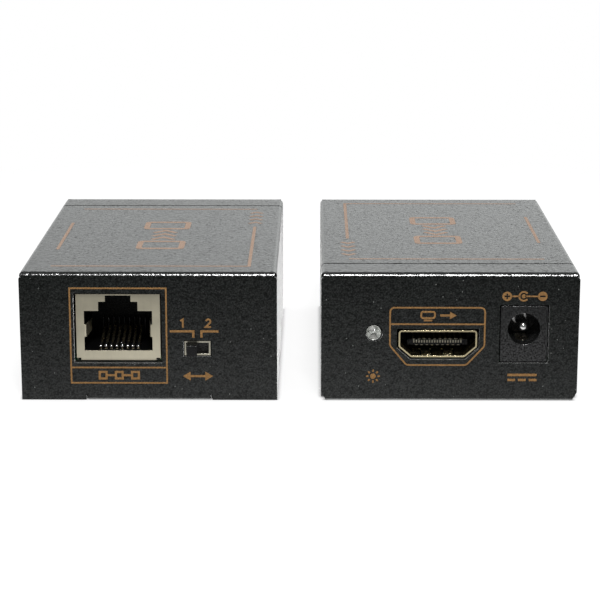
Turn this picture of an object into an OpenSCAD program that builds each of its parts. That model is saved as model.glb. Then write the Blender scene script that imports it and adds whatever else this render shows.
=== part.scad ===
/* [Pair] */
// Distance between the middles of the two boxes, which stand side by side
pair_pitch = 57.4; // [52:0.1:120]

/* [Box] */
// Width of one box
box_w = 49; // [49:0.5:80]
// Length of one box, from the network face to the video face
box_l = 76; // [72:0.5:120]
// Height of one box
box_h = 25; // [24:0.5:40]
// Thickness of the folded steel sheet
sheet_t = 0.8; // [0.7:0.05:1.1]
// Inner radius of each fold
fold_r = 0.1; // [0.1:0.05:0.4]
// Length of the strip that the base folds back over its video end
strip_l = 8; // [6:0.1:12]
// Width of the tab that the cover folds under its network end
tab_w = 23.6; // [14:0.1:30]
// Length of that tab
tab_l = 7; // [5:0.1:10]
// Height of the base's inner side flanges
flange_h = 5.6; // [5:0.1:6]
// Width of the gap between the cover's end and that strip
strip_gap = 0.45; // [0.2:0.05:0.6]
// Width of the gap where two folded edges meet at a corner
seam_gap = 0.2; // [0.1:0.05:0.4]
// Width of the relief cut beside a fold
relief_w = 0.3; // [0.2:0.05:0.5]
// How far each fold stops short of the box's sides
fold_inset = 0.45; // [0.3:0.05:0.8]
// Height of the slanted cut at the lower corners of the video panel
corner_cut_h = 1.6; // [1.3:0.1:3]
// Length of the same cut along the strip's lower edges
corner_cut_l = 3.2; // [2:0.1:5]

/* [Board] */
// Share of the height that the network socket leaves which the board's pillars take
pillar_share = 0.5; // [0.45:0.01:0.55]
// Radius of a pillar
pillar_r = 2.6; // [2.3:0.1:3]
// Thickness of the circuit board
board_t = 1.6; // [1:0.1:2]
// Gap round the edge of the board
board_gap = 0.4; // [0.2:0.1:1]
// Distance from the board's side edges to the pillars
pillar_inset = 3.5; // [3:0.1:5]
// Distance from the board's network edge to its first two pillars
pillar_front = 4.5; // [4:0.1:8]
// Distance from the board's video edge to its other two pillars
pillar_back = 21.5; // [20:0.1:30]
// Radius of the board screws
board_screw_r = 1.5; // [1:0.05:1.6]
// Radius of the side screws
side_screw_r = 1.25; // [1:0.05:1.5]
// Length of a side screw
side_screw_l = 2; // [1.9:0.1:2.6]
// Height of the side screws over the floor
side_screw_z = 3.2; // [3:0.1:3.5]
// Distance from the cover's ends to the side screws
side_screw_inset = 20; // [12:0.5:26]

/* [Network socket] */
// Place of the network socket across the box
net_x = -5.85; // [-7:0.05:-3]
// Width of the socket's metal shield
net_w = 16.1; // [15.8:0.05:17]
// Height of the shield over the board
net_h = 13; // [12.8:0.05:13.4]
// Depth of the socket
net_d = 18; // [16:0.1:21]
// How far the socket's face lies behind the panel's face
net_setback = 0.9; // [0.6:0.05:1]
// Thickness of the shield's sheet
shield_t = 0.25; // [0.2:0.01:0.35]
// Width of the plug opening
plug_w = 13; // [12.4:0.05:13.4]
// Height of the plug opening
plug_h = 7.8; // [7.4:0.05:8]
// Height of the plug opening's floor over the board
plug_z = 1.9; // [1.7:0.05:2.2]
// Width of the step over the plug opening
step_w = 7.5; // [7:0.05:8.5]
// Height of that step
step_h = 1.8; // [1.4:0.05:2]
// Width of the latch notch over the step
latch_w = 4.9; // [4:0.05:5.5]
// Depth of the plug's space
plug_d = 13.5; // [12:0.1:14]
// Pitch of the eight contact wires
wire_pitch = 1.03; // [0.9:0.01:1.1]
// Thickness of a contact wire
wire_t = 0.4; // [0.3:0.01:0.45]
// Slope of a contact wire inside the plug's space, in degrees
wire_slope = 15; // [10:1:18]
// Gap between the shield and the edge of the panel's cut-out
net_gap = 0.34; // [0.2:0.01:0.6]

/* [Selector] */
// Place of the mode selector across the box
sel_x = 9.3; // [8.5:0.05:12]
// Width of the selector's metal frame
sel_w = 5; // [4.8:0.05:5.6]
// Height of the frame
sel_h = 2.85; // [2.7:0.05:3.2]
// Height of the frame's lower edge over the board
sel_z = 1.15; // [0.9:0.05:1.4]
// Width of the knob
knob_w = 2; // [1.6:0.05:2]
// Travel of the knob
knob_travel = 2; // [1.5:0.1:2]
// How far the knob stands out of the panel
knob_out = 1.9; // [1:0.1:2.2]
// Gap round the frame in the panel's cut-out
sel_gap = 0.18; // [0.1:0.01:0.4]

/* [Video socket] */
// Place of the video socket across the box
vid_x = 2.25; // [0:0.05:3]
// Width of the socket's metal shell
vid_w = 14.95; // [14.6:0.05:15.2]
// Height of the shell
vid_h = 5.28; // [5.2:0.02:5.6]
// Height of the shell's underside over the board
vid_z = 0.85; // [0.6:0.05:1.2]
// Depth of the socket
vid_d = 11; // [10:0.1:13]
// How far the shell's mouth lies behind the panel's face
vid_setback = 0.3; // [0.1:0.05:0.6]
// Thickness of the shell's sheet
shell_t = 0.3; // [0.25:0.01:0.35]
// Width of the shell's narrower underside
vid_foot_w = 10.2; // [9.8:0.05:10.6]
// Height of the shell's slanted lower corners
vid_slant_h = 2.05; // [1.8:0.05:2.3]
// Width of the contact tongue
tongue_w = 11.5; // [11:0.05:11.8]
// Thickness of the contact tongue
tongue_t = 1; // [0.8:0.05:1.1]
// Height of the tongue's upper face over the board
tongue_z = 4; // [3.8:0.05:4.1]
// Pitch of the contacts on the tongue
contact_pitch = 1; // [0.9:0.01:1]
// Gap between the shell and the edge of the panel's cut-out
vid_gap = 0.38; // [0.2:0.01:0.6]

/* [Power socket] */
// Place of the power socket across the box
pow_x = -14.12; // [-15:0.02:-12]
// Width of the power socket
pow_w = 9; // [8.8:0.1:9.6]
// Height of the power socket
pow_h = 11; // [10.8:0.1:11.4]
// Depth of the power socket
pow_d = 14.2; // [13:0.1:15]
// Depth of the socket's square face block
pow_face_d = 3.4; // [3:0.1:4]
// How far the socket's face lies behind the panel's face
pow_setback = 0.25; // [0.1:0.05:0.5]
// Height of the socket's bore over the board
pow_z = 6.47; // [6.2:0.01:6.6]
// Radius of the bore
pow_bore_r = 3.1; // [2.75:0.05:3.2]
// Radius of the centre pin
pow_pin_r = 1; // [0.6:0.05:1.25]
// Depth of the bore
pow_bore_d = 9.8; // [9:0.1:10.5]
// How far the pin's tip lies behind the socket's face
pow_pin_setback = 1.2; // [0.8:0.1:2]
// Gap between the socket and the edge of the panel's cut-out
pow_gap = 0.2; // [0.1:0.01:0.4]

/* [Indicator] */
// Place of the indicator lamp across the box
lamp_x = 14.43; // [13:0.05:16]
// Height of the lamp's middle over the board
lamp_z = 5.7; // [4.5:0.05:9]
// Radius of the lamp
lamp_r = 1.5; // [1:0.05:1.5]
// How far the lamp's tip stands out of the panel
lamp_out = 1; // [0.6:0.1:1.2]
// Gap between the lamp and the edge of its hole
lamp_gap = 0.15; // [0.1:0.05:0.4]

/* [Hidden] */
$fn = 48;
// How far a cut runs past the face that it opens
over = 0.5;
// Gap between parts that lie side by side without touching
fit = 0.1;
// Radius of small rounded corners on moulded parts
soft_r = 0.4;

// Outer radius of each fold
fold_out = fold_r + sheet_t;
// Width that the reliefs at a hood's corners take from its channel
corner = fold_out + relief_w;
// Length of the cover, up to the strip's edge
cover_l = box_l - strip_l - strip_gap;
// Gap between the cover's walls and the base inside them
base_gap = 0.15;
// Width of the base plate
plate_w = box_w - 2 * (sheet_t + base_gap);
// Length of the base plate behind the cover's panel
plate_l = box_l - sheet_t - seam_gap - fold_out;
// Depth of the countersink in a side wall, which the screw's head fills
sink_d = sheet_t * 0.9;

// Height of the pillars that hold the board off the base
pillar_h = (box_h - 2 * sheet_t - net_h) * pillar_share;
// Width and length of the board, and the height of its upper face
board_w = plate_w - 2 * (sheet_t + board_gap);
board_l = box_l - 2 * (sheet_t + board_gap);
board_z = sheet_t + pillar_h;
top_z = board_z + board_t;
// Radius of the shank that clinches a pillar into the base
shank_r = pillar_r * 0.8;
// Radius and height of a board screw's head
head_r = board_screw_r * 1.8;
head_h = board_screw_r * 1.1;

// Radius of the board's holes for soldered pins
pin_hole_r = 0.45;
// Radius of the board's holes for shield tabs
tab_hole_r = 0.75;
// Length of a soldered pin below the board
pin_tail = 1;

// Height of the latch notch's top, just under the shield's upper sheet
latch_top = net_h - shield_t;
// Width and height of the panel's cut-out for the network socket
net_cut_w = net_w + 2 * net_gap;
net_cut_h = net_h + 2 * net_gap;
// Thickness of the plastic lip that the plug's latch catches behind
lip_d = 1.3;
// Height of a contact wire's lower run over the board
wire_z = 0.7;
// Distance from the socket's face to the bend of its wires
wire_bend_y = 2.3;
// Distances from the socket's face to its two rows of pins
pin_row_y = 11.4;
pin_row_step = 2.5;
// Distance from the socket's face to the free tips of its wires
wire_tip_y = 10.6;
// Places of the shield's tabs and the body's pegs
net_tab_y = 4.2;
net_tab_w = 1.2;
net_peg_y = 7.6;
net_peg_r = 1.6;
net_peg_x = 6.35;
// Size of the shield's side fingers, which fold back into the plug's space
finger_h = 2.4;
finger_z = 4.6;
finger_l = 5;
finger_slope = 5;
// Height and width of the steps at the shield's lower front corners
foot_step_h = 0.45;
foot_step_w = 0.8;

// Sheet, rim and depth of the selector's frame
sel_t = 0.25;
sel_rim = 0.35;
sel_d = 4.6;
// How far the frame's face lies behind the panel's face
sel_setback = 0.25;
// Running gap round the knob and its carriage
sel_run = 0.1;
carriage_w = sel_w - 2 * (sel_t + sel_run) - knob_travel;
carriage_d = 1;
// Pitch, thickness and place of the selector's soldered terminals
terminal_pitch = 1.5;
terminal_t = 0.3;
terminal_y = sel_d - 2 * terminal_t;
// Inner height of the selector's frame, and the width and height of its window
sel_inner_h = sel_h - 2 * sel_t;
window_w = sel_w - 2 * sel_rim;
window_h = sel_h - 2 * sel_rim;

// Depth of the video socket's open space in front of its insulator
vid_open_d = 7.2;
// Distance from the video socket's mouth to the tip of its tongue
tongue_y = 1.4;
// Thickness and width of a video contact
contact_t = 0.12;
contact_w = 0.45;
// Number of contacts over and under the tongue
contacts_over = 10;
contacts_under = 9;
// Length of a video contact's soldered foot
contact_foot = 1.1;
// Width, length and place of the shell's spring fingers
spring_w = 1.7;
spring_l = 4.6;
spring_x = 2.15;
spring_y = 0.9;
spring_slot = 0.35;
spring_rise = 0.3;
// Rounding of the shell's corners
shell_r = 0.6;
// Places and width of the shell's four tabs
vid_tab_w = 1.1;
vid_tab_front = 2;
vid_tab_back = 8;

// Thickness of the power socket's contact leaf
leaf_t = 0.3;
leaf_w = 2.4;
// How far the leaf rises into the bore
leaf_rise = 0.4;
// Radius of the pin's thicker root in the socket's rear wall
collar_r = pow_pin_r * 1.4;

// Thickness and spacing of the lamp's leads
lead_t = 0.5;
lead_pitch = 2.54;
// Radius and thickness of the lamp's flange
lamp_flange_r = lamp_r * 1.27;
lamp_flange_t = 1;
// Length of the lamp behind the panel's face
lamp_back = 3.4;

// Sizes of the parts on the board: chips, capacitors and crystal
main_chip_w = 12;
main_chip_h = 1.4;
small_chip_w = 5;
small_chip_l = 4;
small_chip_h = 1.5;
can_r = 2;
can_h = 5.4;
can_foot_h = 0.8;
crystal_l = 10;
crystal_w = 4;
crystal_h = 3.5;

// Places of the two boxes. The second one is turned round.
module in_tx() translate([-pair_pitch / 2, 0, 0]) children();

module in_rx() translate([pair_pitch / 2, 0, 0]) rotate([0, 0, 180]) children();

// Places of what sits at a panel: x across the box, setback behind the panel's face.
// There a socket's mouth is at y = 0 and looks along -y, and z = 0 is the board's upper face.
module at_network_end(x, setback) translate([x, setback - box_l / 2, top_z]) children();

module at_video_end(x, setback)
  translate([x, box_l / 2 - setback, top_z]) rotate([0, 0, 180]) children();

// Extrusion along y, from y = 0 to y = l, of an outline drawn in x and z
module along_y(l) translate([0, l, 0]) rotate([90, 0, 0]) linear_extrude(l) children();

// Extrusion along x, w wide about x = 0, of an outline drawn in y and z
module along_x(w) translate([-w / 2, 0, 0]) rotate([90, 0, 90]) linear_extrude(w) children();

// Box that is centred across x and starts at y = 0 and z = 0
module block(w, l, h) translate([-w / 2, 0, 0]) cube([w, l, h]);

// Round bar along y, from y = 0 to y = l
module bar_y(r, l) translate([0, l, 0]) rotate([90, 0, 0]) cylinder(h = l, r = r);

module mirrored_x() {
  children();
  mirror([1, 0, 0]) children();
}

function unit(v) = v / norm(v);

// Arc that rounds corner b of a path a, b, c to radius r
function rounded_corner(a, b, c, r, steps = 5) =
  let (
    u = unit(a - b),
    v = unit(c - b),
    half = acos(u * v) / 2,
    middle = b + unit(u + v) * r / sin(half),
    from = b + u * r / tan(half) - middle,
    turn = (180 - 2 * half) * (cross(u, v) > 0 ? -1 : 1),
    start = atan2(from.y, from.x)
  )
  [for (i = [0:steps]) middle + r * [cos(start + turn * i / steps), sin(start + turn * i / steps)]];

function rounded_outline(points, r) =
  let (n = len(points))
  [for (i = [0:n - 1]) each rounded_corner(points[(i + n - 1) % n], points[i], points[(i + 1) % n], r)];

// Bulging outline drawn in by a distance d
function inset_outline(points, d) =
  let (n = len(points))
  [
    for (i = [0:n - 1])
      let (
        u = unit(points[(i + n - 1) % n] - points[i]),
        v = unit(points[(i + 1) % n] - points[i])
      )
      points[i] + unit(u + v) * d / sin(acos(u * v) / 2)
  ];

// Piece of a ring round the origin, from one angle to another, up to 200 degrees on
module ring_piece(inner, outer, from, to) {
  reach = 2 * outer;
  intersection() {
    difference() {
      circle(outer);
      circle(inner);
    }
    polygon([[0, 0], for (i = [0:4]) let (a = from + (to - from) * i / 4) reach * [cos(a), sin(a)]]);
  }
}

// Quarter of a fold, bulging towards +x and +y round the origin
module fold_quarter(inner, outer) ring_piece(inner, outer, 0, 90);

// Lower fold of an end panel in y and z, with a flat leg back along y
module folded_foot(back) {
  translate([fold_out, fold_out]) rotate(180) fold_quarter(fold_r, fold_out);
  translate([fold_out, 0]) square([back - fold_out, sheet_t]);
}

// Channel outline in x and z that stands on z = 0 with its open side down
module channel_outline(w, h) {
  for (side = [0, 1]) mirror([side, 0]) {
    translate([w / 2 - fold_out, h - fold_out]) fold_quarter(fold_r, fold_out);
    translate([w / 2 - sheet_t, 0]) square([sheet_t, h - fold_out]);
  }
  translate([fold_out - w / 2, h - sheet_t]) square([w - 2 * fold_out, sheet_t]);
}

// Upper part of an end panel, with round corners beside its fold
module panel_top(bottom) {
  round_r = fold_inset;
  top = box_h - fold_out;
  translate([-box_w / 2, bottom]) square([box_w, top - round_r - bottom]);
  translate([round_r - box_w / 2, bottom]) square([box_w - 2 * round_r, top - bottom]);
  for (side = [-1, 1]) translate([side * (box_w / 2 - round_r), top - round_r]) circle(round_r);
}

// Hood: a channel closed by a panel at y = 0, whose upright corners stay open seams
module hood(l) {
  inner_w = box_w - 2 * corner;
  translate([0, corner, 0]) along_y(l - corner) channel_outline(box_w, box_h);
  for (side = [-1, 1])
    translate([side * (box_w - sheet_t) / 2, sheet_t + seam_gap, 0])
      block(sheet_t, corner - sheet_t - seam_gap, box_h - corner);
  translate([0, fold_out, box_h - sheet_t]) block(inner_w, relief_w, sheet_t);
  along_x(box_w - 2 * fold_inset)
    translate([fold_out, box_h - fold_out]) mirror([1, 0]) fold_quarter(fold_r, fold_out);
  along_y(sheet_t) children();
}

// Two folded sheets

module network_panel_outline() {
  difference() {
    panel_top(0);
    translate([-tab_w / 2, -over]) square([tab_w, fold_out + over]);
    for (side = [-1, 1])
      translate([side * (tab_w + relief_w) / 2 - relief_w / 2, -over])
        square([relief_w, fold_out + relief_w + over]);
  }
}

module cover_holes() {
  for (y = [side_screw_inset, cover_l - side_screw_inset])
    mirrored_x() translate([box_w / 2, y - box_l / 2, side_screw_z]) rotate([0, 90, 0]) {
      translate([0, 0, -sink_d])
        cylinder(h = sink_d, r1 = side_screw_r + fit / 2, r2 = side_screw_r + sink_d);
      translate([0, 0, -sheet_t - over]) cylinder(h = sheet_t + over, r = side_screw_r + fit / 2);
    }
}

module top_cover(with_selector) {
  color([0.13, 0.13, 0.13]) difference() {
    union() {
      translate([0, -box_l / 2, 0]) hood(cover_l) network_panel_outline();
      translate([0, -box_l / 2, 0]) along_x(tab_w) folded_foot(tab_l);
    }
    at_network_end(net_x, -over) translate([0, 0, -net_gap]) block(net_cut_w, sheet_t + 2 * over, net_cut_h);
    if (with_selector)
      at_network_end(sel_x, -over) translate([0, 0, sel_z - sel_gap])
        block(sel_w + 2 * sel_gap, sheet_t + 2 * over, sel_h + 2 * sel_gap);
    cover_holes();
  }
}

module video_panel_outline() {
  low = fold_out;
  cut_h = max(corner_cut_h, low + relief_w);
  panel_top(cut_h);
  polygon([
    [-box_w / 2, cut_h], [-plate_w / 2, 0], [-plate_w / 2, low], [plate_w / 2, low],
    [plate_w / 2, 0], [box_w / 2, cut_h]
  ]);
}

module base_plate() {
  front = -box_l / 2 + sheet_t + seam_gap;
  difference() {
    union() {
      translate([0, front, 0]) block(plate_w - 2 * fold_out, plate_l, sheet_t);
      translate([0, front, flange_h]) mirror([0, 0, 1])
        along_y(box_l - strip_l - sheet_t - 2 * seam_gap) channel_outline(plate_w, flange_h);
      translate([0, box_l / 2 - strip_l - seam_gap, 0])
        block(plate_w, strip_l + seam_gap - fold_out, sheet_t);
      translate([0, box_l / 2, 0]) rotate([0, 0, 180])
        along_x(plate_w) folded_foot(fold_out + sheet_t);
    }
    translate([0, front - over, -over])
      block(tab_w + 2 * fit, tab_l - sheet_t + over, sheet_t + 2 * over);
  }
}

// Slanted lower corners of the strip's sides, behind the video panel
module strip_corner_cuts() {
  front = sheet_t + seam_gap - fit;
  mirrored_x() translate([box_w / 2, -box_l / 2, 0]) along_x(2 * (sheet_t + base_gap / 2))
    polygon([[front, -over], [front, corner_cut_h], [corner_cut_l, -over]]);
}

module base_holes() {
  for (y = [side_screw_inset, cover_l - side_screw_inset])
    mirrored_x() translate([plate_w / 2 - sheet_t - over, y - box_l / 2, side_screw_z])
      rotate([0, 90, 0]) cylinder(h = sheet_t + 2 * over, r = side_screw_r + fit / 2);
  at_pillars() translate([0, 0, -over]) cylinder(h = sheet_t + 2 * over, r = shank_r + fit / 2);
}

module base_tray() {
  color([0.13, 0.13, 0.13]) difference() {
    union() {
      base_plate();
      rotate([0, 0, 180]) difference() {
        translate([0, -box_l / 2, 0]) hood(strip_l) video_panel_outline();
        strip_corner_cuts();
      }
    }
    base_holes();
    at_video_end(vid_x, -over) along_y(sheet_t + 2 * over) polygon(inset_outline(vid_points(), -vid_gap));
    at_video_end(pow_x, -over) translate([0, 0, -pow_gap])
      block(pow_w + 2 * pow_gap, sheet_t + 2 * over, pow_h + 2 * pow_gap);
    at_video_end(lamp_x, -over) translate([0, 0, lamp_z]) bar_y(lamp_r + lamp_gap, sheet_t + 2 * over);
  }
}

// Screws, pillars and board

module cross_recess(r) {
  for (a = [0, 90]) rotate([0, 0, a]) translate([-r / 2, -r / 10, -r / 2]) cube([r, r / 5, r / 2 + over]);
}

module cover_screws() {
  color([0.1, 0.1, 0.1])
    for (y = [side_screw_inset, cover_l - side_screw_inset])
      mirrored_x() translate([box_w / 2, y - box_l / 2, side_screw_z]) rotate([0, 90, 0]) difference() {
        head = side_screw_r + sink_d - fit / 2;
        union() {
          translate([0, 0, -sink_d]) cylinder(h = sink_d, r1 = side_screw_r, r2 = head);
          translate([0, 0, -side_screw_l]) cylinder(h = side_screw_l - sink_d, r = side_screw_r);
        }
        cross_recess(side_screw_r * 1.6);
      }
}

// Places of the four pillars
module at_pillars() {
  for (y = [pillar_front - board_l / 2, board_l / 2 - pillar_back])
    for (side = [-1, 1]) translate([side * (board_w / 2 - pillar_inset), y, 0]) children();
}

module standoffs() {
  color([0.78, 0.74, 0.6]) at_pillars() difference() {
    union() {
      translate([0, 0, sheet_t]) cylinder(h = pillar_h, r = pillar_r);
      cylinder(h = sheet_t, r = shank_r);
    }
    translate([0, 0, sheet_t]) cylinder(h = pillar_h + over, r = board_screw_r + fit / 2);
  }
}

module board_screws() {
  reach = pillar_h * 0.75;
  color([0.75, 0.75, 0.76]) at_pillars() translate([0, 0, top_z]) difference() {
    union() {
      cylinder(h = head_h, r = head_r);
      translate([0, 0, -board_t - reach]) cylinder(h = board_t + reach, r = board_screw_r);
    }
    translate([0, 0, head_h]) cross_recess(head_r);
  }
}

module circuit_board(with_selector) {
  depth = board_t + 2 * over;
  color([0.05, 0.25, 0.12]) difference() {
    translate([0, -board_l / 2, board_z]) block(board_w, board_l, board_t);
    at_pillars() translate([0, 0, board_z - over]) cylinder(h = depth, r = board_screw_r + fit);
    at_network_end(net_x, net_setback) translate([0, 0, over - depth]) net_board_holes(depth);
    at_video_end(vid_x, vid_setback) translate([0, 0, over - depth]) vid_board_holes(depth);
    at_video_end(pow_x, pow_setback) translate([0, 0, over - depth]) pow_board_holes(depth);
    at_video_end(lamp_x, 0) translate([0, 0, over - depth]) lamp_board_holes(depth);
    if (with_selector)
      at_network_end(sel_x, sel_setback) translate([0, 0, over - depth]) sel_board_holes(depth);
  }
}

// Network socket

module net_board_holes(depth) {
  for (i = [0:7]) translate([wire_x(i), wire_pin_y(i), 0]) cylinder(h = depth, r = pin_hole_r);
  mirrored_x() {
    translate([net_w / 2 - shield_t / 2, net_tab_y, 0]) cylinder(h = depth, r = tab_hole_r);
    translate([net_peg_x, net_peg_y, 0]) cylinder(h = depth, r = net_peg_r + fit);
  }
}

// Outline of the plug's opening, whose latch notch is notch wide
module plug_outline(notch) {
  translate([-plug_w / 2, plug_z]) square([plug_w, plug_h]);
  translate([-step_w / 2, plug_z]) square([step_w, plug_h + step_h]);
  translate([-notch / 2, plug_z]) square([notch, latch_top - plug_z]);
}

module network_shield() {
  color([0.72, 0.7, 0.66]) {
    difference() {
      block(net_w, net_d, net_h);
      translate([0, shield_t, -over]) block(net_w - 2 * shield_t, net_d - 2 * shield_t, latch_top + over);
      translate([0, -over, 0]) along_y(shield_t + 2 * over) plug_outline(latch_w);
      mirrored_x() translate([(net_w - foot_step_w) / 2, -over, -over])
        block(foot_step_w + fit, shield_t + 2 * over, foot_step_h + over);
    }
    mirrored_x() shield_tab();
    mirrored_x() shield_finger();
  }
}

// Tab at the lower edge of the shield's side, soldered into the board
module shield_tab() {
  translate([(net_w - shield_t) / 2, net_tab_y - net_tab_w / 2, -board_t - pin_tail])
    block(shield_t, net_tab_w, board_t + pin_tail + shield_t);
}

// Finger that folds back from the opening's side edge, drawn at the right side
module shield_finger() {
  inner = shield_t;
  outer = 2 * shield_t;
  translate([plug_w / 2, 0, finger_z]) linear_extrude(finger_h) {
    square(shield_t);
    translate([0, outer]) {
      ring_piece(inner, outer, 180 + finger_slope, 270);
      rotate(finger_slope) translate([-outer, 0]) square([shield_t, finger_l]);
    }
  }
}

module network_body() {
  w = net_w - 2 * (shield_t + fit);
  l = net_d - 2 * (shield_t + fit);
  h = latch_top - fit;
  slot_w = wire_t + 2 * fit;
  color([0.07, 0.07, 0.07]) translate([0, shield_t + fit, 0]) difference() {
    union() {
      block(w, l, h);
      mirrored_x() translate([net_peg_x, net_peg_y - shield_t - fit, -board_t])
        cylinder(h = board_t, r = net_peg_r);
    }
    // Lip, then the deeper space behind it, which is as wide as the step all the way up
    translate([0, -over, 0]) along_y(lip_d + over) plug_outline(latch_w + 2 * fit);
    translate([0, lip_d, 0]) along_y(plug_d - lip_d) plug_outline(step_w);
    // Room for the shield's side fingers
    mirrored_x() translate([plug_w / 2, -over, finger_z - fit])
      block(2 * (shield_t + fit), finger_l + over, finger_h + 2 * fit);
    // Slots for the wires, open below, and one for each row of pins
    for (i = [0:7]) translate([wire_x(i), wire_front_y() - shield_t - 2 * fit, -over])
      block(slot_w, wire_pin_y(i) - wire_front_y() + wire_t + 2 * fit, plug_z + 2 * over);
  }
}

function wire_x(i) = (i - 3.5) * wire_pitch;
function wire_pin_y(i) = pin_row_y + (i % 2) * pin_row_step;

// Radius of the middle of a wire's front bend, and the distance from the face to its foremost point
function wire_bend_r() = (plug_z + wire_t * 0.1 - wire_z) / 2;
function wire_front_y() = wire_bend_y - wire_bend_r() - wire_t / 2;

// Side of one contact wire: a pin, a run forwards, a bend and a sloping run into the plug's space
module wire_outline(pin_y) {
  bend = wire_bend_r();
  inner = bend - wire_t / 2;
  outer = bend + wire_t / 2;
  middle_z = wire_z + bend;
  rise_l = (wire_tip_y - wire_bend_y) / cos(wire_slope);
  translate([pin_y, -board_t - pin_tail]) square([wire_t, board_t + pin_tail + wire_z + wire_t / 2]);
  translate([wire_bend_y, middle_z - outer]) square([pin_y + wire_t - wire_bend_y, wire_t]);
  translate([wire_bend_y, middle_z]) {
    ring_piece(inner, outer, 90 + wire_slope, 270);
    rotate(wire_slope) translate([0, inner]) square([rise_l, wire_t]);
  }
}

module network_contacts() {
  color([0.83, 0.66, 0.3])
    for (i = [0:7]) translate([wire_x(i), 0, 0]) along_x(wire_t) wire_outline(wire_pin_y(i));
}

// Selector

// Distance from the frame's face to the insulator behind the carriage
function sel_rear_y() = sel_t + 2 * sel_run + carriage_d;

module selector_frame() {
  color([0.7, 0.7, 0.68]) {
    difference() {
      translate([0, 0, sel_z]) block(sel_w, sel_d, sel_h);
      translate([0, sel_t, sel_z + sel_t]) block(sel_w - 2 * sel_t, sel_d, sel_inner_h);
      translate([0, -over, sel_z + sel_rim]) block(window_w, sel_t + 2 * over, window_h);
      translate([0, sel_rear_y(), 0]) block(sel_w - 2 * sel_t, sel_d, sel_z + sel_h / 2);
    }
    mirrored_x() translate([(sel_w - sel_t) / 2, sel_d / 2, 0]) block(sel_t, sel_d / 4, sel_z + sel_t);
  }
}

module selector_base() {
  l = sel_d - sel_rear_y() - fit;
  color([0.06, 0.06, 0.06]) difference() {
    translate([0, sel_rear_y() + fit, 0])
      block(sel_w - 2 * (sel_t + fit / 2), l, sel_z + sel_h - sel_t - fit / 2);
    for (i = [-1:1]) translate([i * terminal_pitch, terminal_y - fit / 2, -over])
      block(terminal_t + fit, sel_d, sel_h + over);
  }
}

module sel_board_holes(depth) {
  for (i = [-1:1]) translate([i * terminal_pitch, terminal_y + terminal_t / 2, 0])
    cylinder(h = depth, r = pin_hole_r);
}

module selector_terminals() {
  color([0.8, 0.78, 0.7])
    for (i = [-1:1]) translate([i * terminal_pitch, terminal_y, -board_t - pin_tail])
      block(terminal_t, terminal_t, board_t + pin_tail + sel_h - fit);
}

module selector_slider() {
  knob_h = window_h - 2 * sel_run;
  knob_l = knob_out + sel_setback + sel_t + sel_run;
  middle_z = sel_z + sel_h / 2;
  color([0.05, 0.05, 0.05]) translate([-knob_travel / 2, 0, middle_z]) {
    translate([0, -knob_out - sel_setback, -knob_h / 2]) block(knob_w, knob_l, knob_h);
    translate([0, sel_t + sel_run, -(sel_inner_h / 2 - sel_run)])
      block(carriage_w, carriage_d, sel_inner_h - 2 * sel_run);
  }
}

// Video socket

function vid_points() = [
  [-vid_w / 2, vid_z + vid_h], [-vid_w / 2, vid_z + vid_slant_h], [-vid_foot_w / 2, vid_z],
  [vid_foot_w / 2, vid_z], [vid_w / 2, vid_z + vid_slant_h], [vid_w / 2, vid_z + vid_h]
];

module vid_board_holes(depth) {
  for (y = [vid_tab_front, vid_tab_back])
    mirrored_x() translate([(vid_w - shell_t) / 2, y, 0]) cylinder(h = depth, r = tab_hole_r);
}

module video_shell() {
  inner = inset_outline(vid_points(), shell_t);
  color([0.8, 0.75, 0.62]) {
    difference() {
      along_y(vid_d) polygon(rounded_outline(vid_points(), shell_r));
      translate([0, -over, 0]) along_y(vid_d + 2 * over) polygon(rounded_outline(inner, shell_r - shell_t));
      mirrored_x() for (z = [vid_z, vid_z + vid_h - shell_t])
        translate([spring_x, spring_y, z - over])
          block(spring_w + 2 * spring_slot, spring_l, shell_t + 2 * over);
    }
    // Spring fingers, one pair in the floor and one in the roof, bent into the mouth
    mirrored_x() translate([spring_x, spring_y, vid_z]) along_x(spring_w) spring_outline();
    mirrored_x() translate([spring_x, spring_y, vid_z + vid_h])
      mirror([0, 0, 1]) along_x(spring_w) spring_outline();
    for (y = [vid_tab_front, vid_tab_back]) mirrored_x() video_tab(y);
  }
}

// Side of a finger that is rooted in the sheet behind its window and rises towards the mouth
module spring_outline() {
  knee = spring_l * 0.3;
  root = spring_l + shell_t;
  polygon([
    [root, 0], [root, shell_t], [spring_l, shell_t], [knee, shell_t + spring_rise],
    [spring_slot, shell_t], [spring_slot, 0], [knee, spring_rise], [spring_l, 0]
  ]);
}

module video_tab(y) {
  translate([(vid_w - shell_t) / 2, y - vid_tab_w / 2, -board_t - pin_tail])
    block(shell_t, vid_tab_w, board_t + pin_tail + vid_z + vid_slant_h + shell_r);
}

module video_tongue() {
  rear = vid_d - vid_open_d;
  // Lower edge of the tongue, and the channels that hold the contact rows in the insulator
  low = tongue_z - tongue_t;
  row_w = contacts_over * contact_pitch;
  color([0.08, 0.08, 0.08]) difference() {
    union() {
      translate([0, vid_open_d, 0]) along_y(rear)
        polygon(rounded_outline(inset_outline(vid_points(), shell_t + fit), shell_r / 2));
      translate([0, tongue_y, low]) block(tongue_w, vid_open_d - tongue_y, tongue_t);
      translate([0, vid_open_d, 0]) block(vid_foot_w * 0.9, rear, vid_z - fit);
      translate([0, vid_d, 0]) block(vid_foot_w * 0.9, contact_t, tongue_z - tongue_t);
      translate([0, vid_d, 0]) block(vid_foot_w * 0.5, contact_t, vid_z);
    }
    for (z = [tongue_z, low - contact_t])
      translate([0, vid_open_d - over, z]) block(row_w, rear + 3 * over, contact_t + fit);
  }
}

// Side of one video contact: a run along the tongue and a leg down behind the insulator
module contact_outline(z, back) {
  front = tongue_y + contact_t;
  translate([front, z]) square([back - front, contact_t]);
  translate([back - contact_t, 0]) square([contact_t, z + contact_t]);
  translate([back - contact_t, 0]) square([contact_foot, contact_t]);
}

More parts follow.
